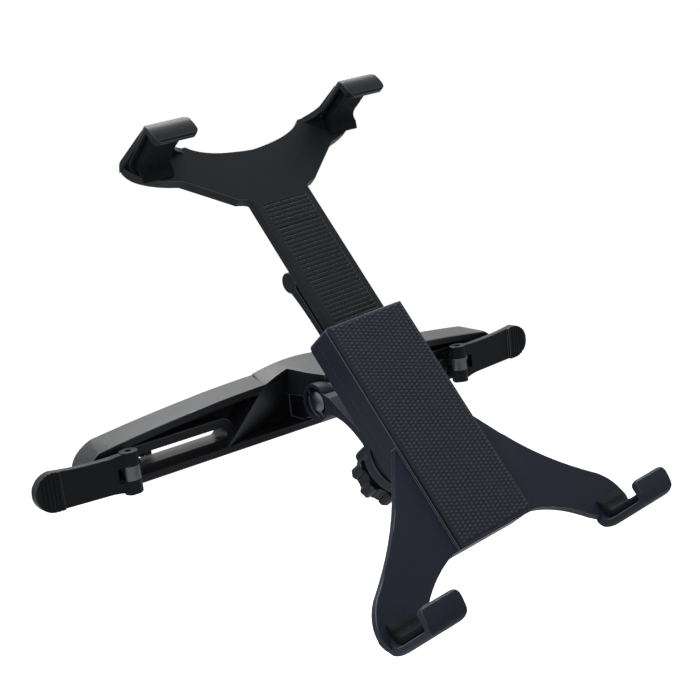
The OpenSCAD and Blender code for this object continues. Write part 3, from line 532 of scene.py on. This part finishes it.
mouldings = {
    "mount_bar": {"material": "barPlastic", "slot": "satin_black", "radius": 0.55 * mm},
    "left_slide_block": {"material": "barPlastic", "slot": "satin_black", "radius": 0.3 * mm},
    "right_slide_block": {"material": "barPlastic", "slot": "satin_black", "radius": 0.3 * mm},
    "left_jaw": {"material": "barPlastic", "slot": "satin_black", "radius": 0.45 * mm},
    "right_jaw": {"material": "barPlastic", "slot": "satin_black", "radius": 0.45 * mm},
    "left_clamp_lever": {"material": "leverPlastic", "slot": "gloss_black", "radius": 0.5 * mm},
    "right_clamp_lever": {"material": "leverPlastic", "slot": "gloss_black", "radius": 0.5 * mm},
    "tilt_arm": {"material": "cradlePlastic", "slot": "satin_black", "radius": 0.5 * mm},
    "turn_knob": {"material": "knobPlastic", "slot": "satin_black", "radius": 0.8 * mm},
    "cradle_body": {"material": "cradlePlastic", "slot": "satin_black", "radius": 0.55 * mm},
    "rear_cover": {"material": "cradlePlastic", "slot": "satin_black", "radius": 0.5 * mm},
    "upper_bracket": {"material": "bracketPlastic", "slot": "satin_black", "radius": 0.28 * mm},
    "release_lever": {"material": "leverPlastic", "slot": "gloss_black", "radius": 0.4 * mm},
    "brake_shoe": {"material": "linerFoam", "slot": "grip_rubber", "radius": 0.3 * mm},
    "tilt_screw": {"material": "darkSteel", "slot": "dark_steel", "radius": 0.22 * mm},
    "left_clamp_bolt": {"material": "darkSteel", "slot": "dark_steel", "radius": 0.2 * mm},
    "right_clamp_bolt": {"material": "darkSteel", "slot": "dark_steel", "radius": 0.2 * mm},
    "left_jaw_nut": {"material": "plainSteel", "slot": "plain_steel", "radius": 0.2 * mm},
    "right_jaw_nut": {"material": "plainSteel", "slot": "plain_steel", "radius": 0.2 * mm},
    "left_lever_pin": {"material": "plainSteel", "slot": "plain_steel", "radius": 0.2 * mm},
    "right_lever_pin": {"material": "plainSteel", "slot": "plain_steel", "radius": 0.2 * mm},
    "tilt_nut": {"material": "plainSteel", "slot": "plain_steel", "radius": 0.2 * mm},
    "turn_screw": {"material": "plainSteel", "slot": "plain_steel", "radius": 0.2 * mm},
    "turn_washer": {"material": "plainSteel", "slot": "plain_steel", "radius": 0.2 * mm},
    "turn_nut": {"material": "plainSteel", "slot": "plain_steel", "radius": 0.2 * mm},
    "cover_screws": {"material": "darkSteel", "slot": "dark_steel", "radius": 0.15 * mm},
    "release_pin": {"material": "plainSteel", "slot": "plain_steel", "radius": 0.15 * mm},
}

edgeSettings = {
    "sharpDegrees": 29,
    "roomShare": 0.34,    # of the face beside an edge that its radius may take
    "lengthShare": 0.85,  # of an edge's length that its neighbours' radii may take
    "leastRadius": 0.05 * mm,
    "steps": 3,
    "rounds": 5,          # tries at easing the radii round a folded face
    "halvings": 3,        # so many of them halve a radius, the others drop it
    "foldNear": 0.9 * mm,
    "foldCosine": 0.6,
    "leastFold": 0.003 * mm * mm,
    "pullDegrees": 14,    # how far a neighbour may pull the normal of a flat face over
    "weld": 0.002 * mm,
    "flatDegrees": 0.1,   # faces that lie this flat to each other are one face
    "hairpin": 2.8,       # radians: a corner tighter than this is no real turn
    "leastTurn": 0.01,    # a sum of turns below this takes nothing off an edge
    "runOn": 0.8,         # radians: edges that turn less than this are one line
    "runOnPasses": 3,
    "runOnGrowth": 1.35,  # how much wider a radius may be than the one it runs on from
    "normalWeight": 60,
}
tiny = 1e-9               # metres: shorter than any real edge


def weldedCopy(node):
    bm = bmesh.new()
    bm.from_mesh(frame["nodes"][node].data)
    bmesh.ops.remove_doubles(bm, verts=bm.verts, dist=edgeSettings["weld"])
    bmesh.ops.dissolve_limit(bm, angle_limit=math.radians(edgeSettings["flatDegrees"]), verts=bm.verts,
                             edges=bm.edges, delimit=set())
    bm.normal_update()
    return bm


def roomBeside(edge, face):
    # How far the face reaches square to the edge, from the middle of the edge
    start, end = (v.co for v in edge.verts)
    along = (end - start).normalized()
    inward = face.normal.cross(along).normalized()
    middle = (start + end) / 2
    if (face.calc_center_median() - middle).dot(inward) < 0:
        inward.negate()
    nearest = None
    for other in face.edges:
        if other is edge:
            continue
        a, b = (v.co - middle for v in other.verts)
        sideA, sideB = a.dot(along), b.dot(along)
        if sideA * sideB > 0 or abs(sideA - sideB) < tiny:
            continue
        share = sideA / (sideA - sideB)
        reach = (a + (b - a) * share).dot(inward)
        if reach > 100 * tiny and (nearest is None or reach < nearest):
            nearest = reach
    return nearest if nearest is not None else face.calc_perimeter() / 4


def turnLimit(loop, rounded):
    # Largest radius at which the edge of this face corner keeps some of its length
    before, after = loop.link_loop_prev, loop.link_loop_next
    here = after.vert.co - loop.vert.co
    shrink = 0.0
    turns = ((before.edge, loop.vert.co - before.vert.co, here),
             (after.edge, here, after.link_loop_next.vert.co - after.vert.co))
    for neighbour, first, second in turns:
        if neighbour in rounded and first.length > tiny and second.length > tiny:
            turn = first.angle(second)
            if first.cross(second).dot(loop.face.normal) > 0 and turn < edgeSettings["hairpin"]:
                shrink += math.tan(turn / 2)
    if shrink < edgeSettings["leastTurn"]:
        return 1.0   # no limit
    return here.length * edgeSettings["lengthShare"] / shrink


def radiiOf(bm, wanted):
    # The radius for each sharp edge, as far as its faces have room for it
    limit = math.radians(edgeSettings["sharpDegrees"])
    rounded = {edge for edge in bm.edges if len(edge.link_faces) == 2 and edge.calc_face_angle(0) >= limit}
    radii = {}
    for edge in rounded:
        room = min(roomBeside(edge, face) for face in edge.link_faces) * edgeSettings["roomShare"]
        turn = min(turnLimit(loop, rounded) for loop in edge.link_loops)
        radii[edge.index] = min(wanted, room, turn)
    # Edges that run on into each other share the smaller radius
    for _ in range(edgeSettings["runOnPasses"]):
        for vert in bm.verts:
            meeting = [edge for edge in vert.link_edges if edge.index in radii]
            if len(meeting) != 2:
                continue
            first, second = (edge.other_vert(vert).co - vert.co for edge in meeting)
            if first.angle(-second, math.pi) < edgeSettings["runOn"]:
                widest = edgeSettings["runOnGrowth"] * min(radii[edge.index] for edge in meeting)
                for edge in meeting:
                    radii[edge.index] = min(radii[edge.index], widest)
    return radii


def bodyOf(node):
    return frame["nodes"][node]["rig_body"]


def finishPiece(piece, node, look):
    piece.data.materials.clear()
    piece.data.materials.append(materials[look["material"]])
    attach(piece, bodyOf(node))
    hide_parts(node)


def meshFromModifiers(piece):
    made = bpy.data.meshes.new_from_object(piece.evaluated_get(bpy.context.evaluated_depsgraph_get()))
    piece.modifiers.clear()
    old = piece.data
    piece.data = made
    bpy.data.meshes.remove(old)


def foldsOf(mesh):
    # Places where a face folds over itself
    mesh.calc_loop_triangles()
    places = []
    for triangle in mesh.loop_triangles:
        a, b, c = (mesh.vertices[index].co for index in triangle.vertices)
        square = (b - a).cross(c - a)
        area = square.length / 2
        if area < edgeSettings["leastFold"]:
            continue
        normal = mesh.polygons[triangle.polygon_index].normal
        if square.normalized().dot(normal) < edgeSettings["foldCosine"]:
            places.append((a, b, c))
    return places


def roundedPiece(node, bm, radii, wanted):
    weight = bm.edges.layers.float.get("bevel_weight_edge")
    for edge in bm.edges:
        radius = radii.get(edge.index)
        soft = radius is None or radius > edgeSettings["leastRadius"]
        edge.smooth = soft
        edge[weight] = radius / wanted if radius is not None and soft else 0.0
    mesh = bpy.data.meshes.new(node + "_moulding")
    bm.to_mesh(mesh)
    piece = bpy.data.objects.new(node + "_moulding", mesh)
    scene.collection.objects.link(piece)
    for _ in range(2):
        mesh.materials.append(None)   # the second slot marks the rounded edges
    bevel = piece.modifiers.new("radii", "BEVEL")
    bevel.limit_method = "WEIGHT"
    bevel.offset_type = "OFFSET"
    bevel.width = wanted
    bevel.segments = edgeSettings["steps"]
    bevel.use_clamp_overlap = False
    bevel.material = 1
    settle = piece.modifiers.new("settle", "WEIGHTED_NORMAL")
    settle.keep_sharp = True
    settle.weight = edgeSettings["normalWeight"]
    meshFromModifiers(piece)
    return piece


def settleNormals(mesh):
    # A flat face keeps its own normal where a neighbour would pull it far over
    limit = math.cos(math.radians(edgeSettings["pullDegrees"]))
    normals = [corner.vector.copy() for corner in mesh.corner_normals]
    pulled = 0
    for polygon in mesh.polygons:
        if polygon.material_index != 0:
            continue
        for index in polygon.loop_indices:
            if normals[index].dot(polygon.normal) < limit:
                normals[index] = polygon.normal.copy()
                pulled += 1
    mesh.normals_split_custom_set(normals)
    return pulled


def easeNear(bm, radii, folds, factor):
    # Takes the factor to the radii of the edges that pass close by a fold
    corners = [point for fold in folds for point in fold]
    eased = 0
    for edge in bm.edges:
        if edge.index not in radii:
            continue
        start, end = (v.co for v in edge.verts)
        along = end - start
        for corner in corners:
            share = max(0.0, min(1.0, (corner - start).dot(along) / along.length_squared))
            if (start + along * share - corner).length < edgeSettings["foldNear"]:
                radii[edge.index] *= factor
                eased += 1
                break
    return eased


def markEdges(mesh):
    # The vertices inside a rounded edge carry 1 in the edge mask, all others 0
    inside = [1.0] * len(mesh.vertices)
    for polygon in mesh.polygons:
        if polygon.material_index == 0:
            for index in polygon.vertices:
                inside[index] = 0.0
        polygon.material_index = 0
    mask = mesh.attributes.new("edgeMask", "FLOAT", "POINT")
    mask.data.foreach_set("value", inside)


def makeMoulding(node, look):
    bm = weldedCopy(node)
    bm.edges.index_update()
    bm.edges.layers.float.new("bevel_weight_edge")
    for face in bm.faces:
        face.smooth = True
    wanted = look["radius"]
    radii = radiiOf(bm, wanted)
    for attempt in range(edgeSettings["rounds"] + 1):
        piece = roundedPiece(node, bm, radii, wanted)
        folds = foldsOf(piece.data)
        if not folds or attempt == edgeSettings["rounds"]:
            break
        eased = easeNear(bm, radii, folds, 0.5 if attempt < edgeSettings["halvings"] else 0.0)
        print("  ", node, "folds", len(folds), "eased", eased)
        old = piece.data
        bpy.data.objects.remove(piece)
        bpy.data.meshes.remove(old)
    bm.free()
    if folds:
        print("  ", node, "still has", len(folds), "folds")
    print("  ", node, "normals set back", settleNormals(piece.data))
    markEdges(piece.data)
    finishPiece(piece, node, look)


for nodeName, nodeLook in mouldings.items():
    makeMoulding(nodeName, nodeLook)
print("mouldings ready:", len(mouldings))


# The spring keeps its solid and gets steel

springObject = frame["nodes"]["release_spring"]
springObject.data.materials.clear()
springObject.data.materials.append(materials["plainSteel"])


# Grip pad: rubber with columns of small leaning scales

padLook = {
    "column": 1.95 * mm,
    "row": 1.5 * mm,
    "stepsPerColumn": 6,
    "stepsPerRow": 5,
    "rise": 0.5 * mm,
    "rim": 0.8 * mm,      # plain border before the first scale
    "rimRise": 0.4 * mm,  # over which the first scales come up from the border
    "rimSteps": 6,        # extra steps of the grid for the borders
    "edgeRadius": 0.7 * mm,
    "lean": 0.7,          # below 1 a scale is steep at its upper end
    "acrossPower": 0.75,
    "downPower": 0.8,
    "hollowShade": 0.35,  # painted shade of the ground between the scales, whose tops carry 1
    # the plain border and the back and sides also get painted shade
    "rimShade": 0.55,
    "backShade": 0.5,
}


def boxFrame(node):
    # Corner and the three edge vectors of a box-shaped node, thinnest first
    bm = weldedCopy(node)
    bm.verts.ensure_lookup_table()
    corner = bm.verts[0]
    sides = [e.other_vert(corner).co - corner.co for e in corner.link_edges]
    sides.sort(key=lambda side: side.length)
    start = corner.co.copy()
    bm.free()
    return start, sides


def scaleHeight(u, v):
    # u counts columns and v rows: each scale is round across and leans down its column
    column = math.floor(u)
    across = math.cos((u - column - 0.5) * math.pi)
    step = v + 0.5 * (column % 2)
    down = step - math.floor(step)
    lean = math.sin(math.pi * down ** padLook["lean"])
    return max(0.0, across) ** padLook["acrossPower"] * max(0.0, lean) ** padLook["downPower"]


def padFrame():
    # The pad's box, turned so that thin points out of the cradle, wide to the right and tall up
    start, (thin, wide, tall) = boxFrame("grip_pad")
    if thin.y > 0:
        start, thin = start + thin, -thin
    if wide.x < 0:
        start, wide = start + wide, -wide
    if tall.z < 0:
        start, tall = start + tall, -tall
    return start, thin, wide, tall


def closeSheet(bm, grid, raised, start, out):
    # Gives the sheet of scales its four sides and a flat back
    across, down = len(grid[0]) - 1, len(grid) - 1
    border = ([grid[0][i] for i in range(across)] + [grid[j][across] for j in range(down)]
              + [grid[down][i] for i in range(across, 0, -1)] + [grid[j][0] for j in range(down, 0, -1)])
    back = []
    for vert in border:
        depth = (vert.co - start).dot(out)
        low = bm.verts.new(vert.co - out * depth)
        low[raised] = padLook["backShade"]
        back.append(low)
    for index, vert in enumerate(border):
        following = (index + 1) % len(border)
        bm.faces.new((vert, back[index], back[following], border[following]))
    bm.faces.new(list(reversed(back)))


def makeGripPad():
    start, thin, wide, tall = padFrame()
    out, right, up = thin.normalized(), wide.normalized(), tall.normalized()
    width, height, thick = wide.length, tall.length, thin.length
    columns = round((width - 2 * padLook["rim"]) / padLook["column"])
    rows = round((height - 2 * padLook["rim"]) / padLook["row"])
    across = columns * padLook["stepsPerColumn"] + padLook["rimSteps"]
    down = rows * padLook["stepsPerRow"] + padLook["rimSteps"]
    radius = padLook["edgeRadius"]
    shadedHollow = padLook["hollowShade"]
    bm = bmesh.new()
    raised = bm.verts.layers.float.new("raised")
    grid = []
    for j in range(down + 1):
        line = []
        for i in range(across + 1):
            x, z = width * i / across, height * j / down
            edge = min(x, width - x, z, height - z)
            inside = max(0.0, min(1.0, (edge - padLook["rim"]) / padLook["rimRise"]))
            u = (x - padLook["rim"]) / (width - 2 * padLook["rim"]) * columns
            v = (z - padLook["rim"]) / (height - 2 * padLook["rim"]) * rows
            scale = scaleHeight(u, v) * inside
            roll = max(0.0, 1 - edge / radius)
            face = thick - padLook["rise"] - radius * (1 - math.sqrt(max(0.0, 1 - roll * roll)))
            point = start + right * x + up * z + out * (face + padLook["rise"] * scale)
            vert = bm.verts.new(point)
            vert[raised] = shadedHollow + (1 - shadedHollow) * scale if inside > 0 else padLook["rimShade"]
            line.append(vert)
        grid.append(line)
    for j in range(down):
        for i in range(across):
            bm.faces.new((grid[j][i], grid[j][i + 1], grid[j + 1][i + 1], grid[j + 1][i]))
    closeSheet(bm, grid, raised, start, out)
    bmesh.ops.recalc_face_normals(bm, faces=bm.faces)
    for face in bm.faces:
        face.smooth = len(face.verts) == 4
    mesh = bpy.data.meshes.new("grip_pad_rubber")
    bm.to_mesh(mesh)
    bm.free()
    piece = bpy.data.objects.new("grip_pad_rubber", mesh)
    scene.collection.objects.link(piece)
    finishPiece(piece, "grip_pad", {"material": "gripRubber", "slot": "grip_rubber"})
    print("grip pad:", columns, "columns,", rows, "rows")


makeGripPad()


# Foam liners of the hooks and the clamp jaws

foamLook = {
    "material": "linerFoam", "slot": "black_foam",
    "voxel": 0.55 * mm,
    "lump": 0.16 * mm,      # height of the soft unevenness
    "lumpScale": 420,
    "pore": 0.10 * mm,
    "poreScale": 1500,
    "softenFactor": 0.5,
    "softenRounds": 2,
}

foamNodes = ["left_jaw_liner", "right_jaw_liner", "lower_left_liner", "lower_right_liner",
             "upper_left_liner", "upper_right_liner"]


def makeFoamLiner(node):
    bm = weldedCopy(node)
    mesh = bpy.data.meshes.new(node + "_foam")
    bm.to_mesh(mesh)
    bm.free()
    piece = bpy.data.objects.new(node + "_foam", mesh)
    scene.collection.objects.link(piece)
    cut = piece.modifiers.new("cut", "REMESH")
    cut.mode = "VOXEL"
    cut.voxel_size = foamLook["voxel"]
    soften = piece.modifiers.new("soften", "SMOOTH")
    soften.factor = foamLook["softenFactor"]
    soften.iterations = foamLook["softenRounds"]
    meshFromModifiers(piece)
    for vertex in piece.data.vertices:
        place = vertex.co.copy()
        lump = noise.noise(place * foamLook["lumpScale"]) * foamLook["lump"]
        pore = -abs(noise.noise(place * foamLook["poreScale"])) * foamLook["pore"]
        vertex.co = place + vertex.normal * (lump + pore)
    for polygon in piece.data.polygons:
        polygon.use_smooth = True
    finishPiece(piece, node, foamLook)


for liner in foamNodes:
    makeFoamLiner(liner)
print("foam liners ready:", len(foamNodes))
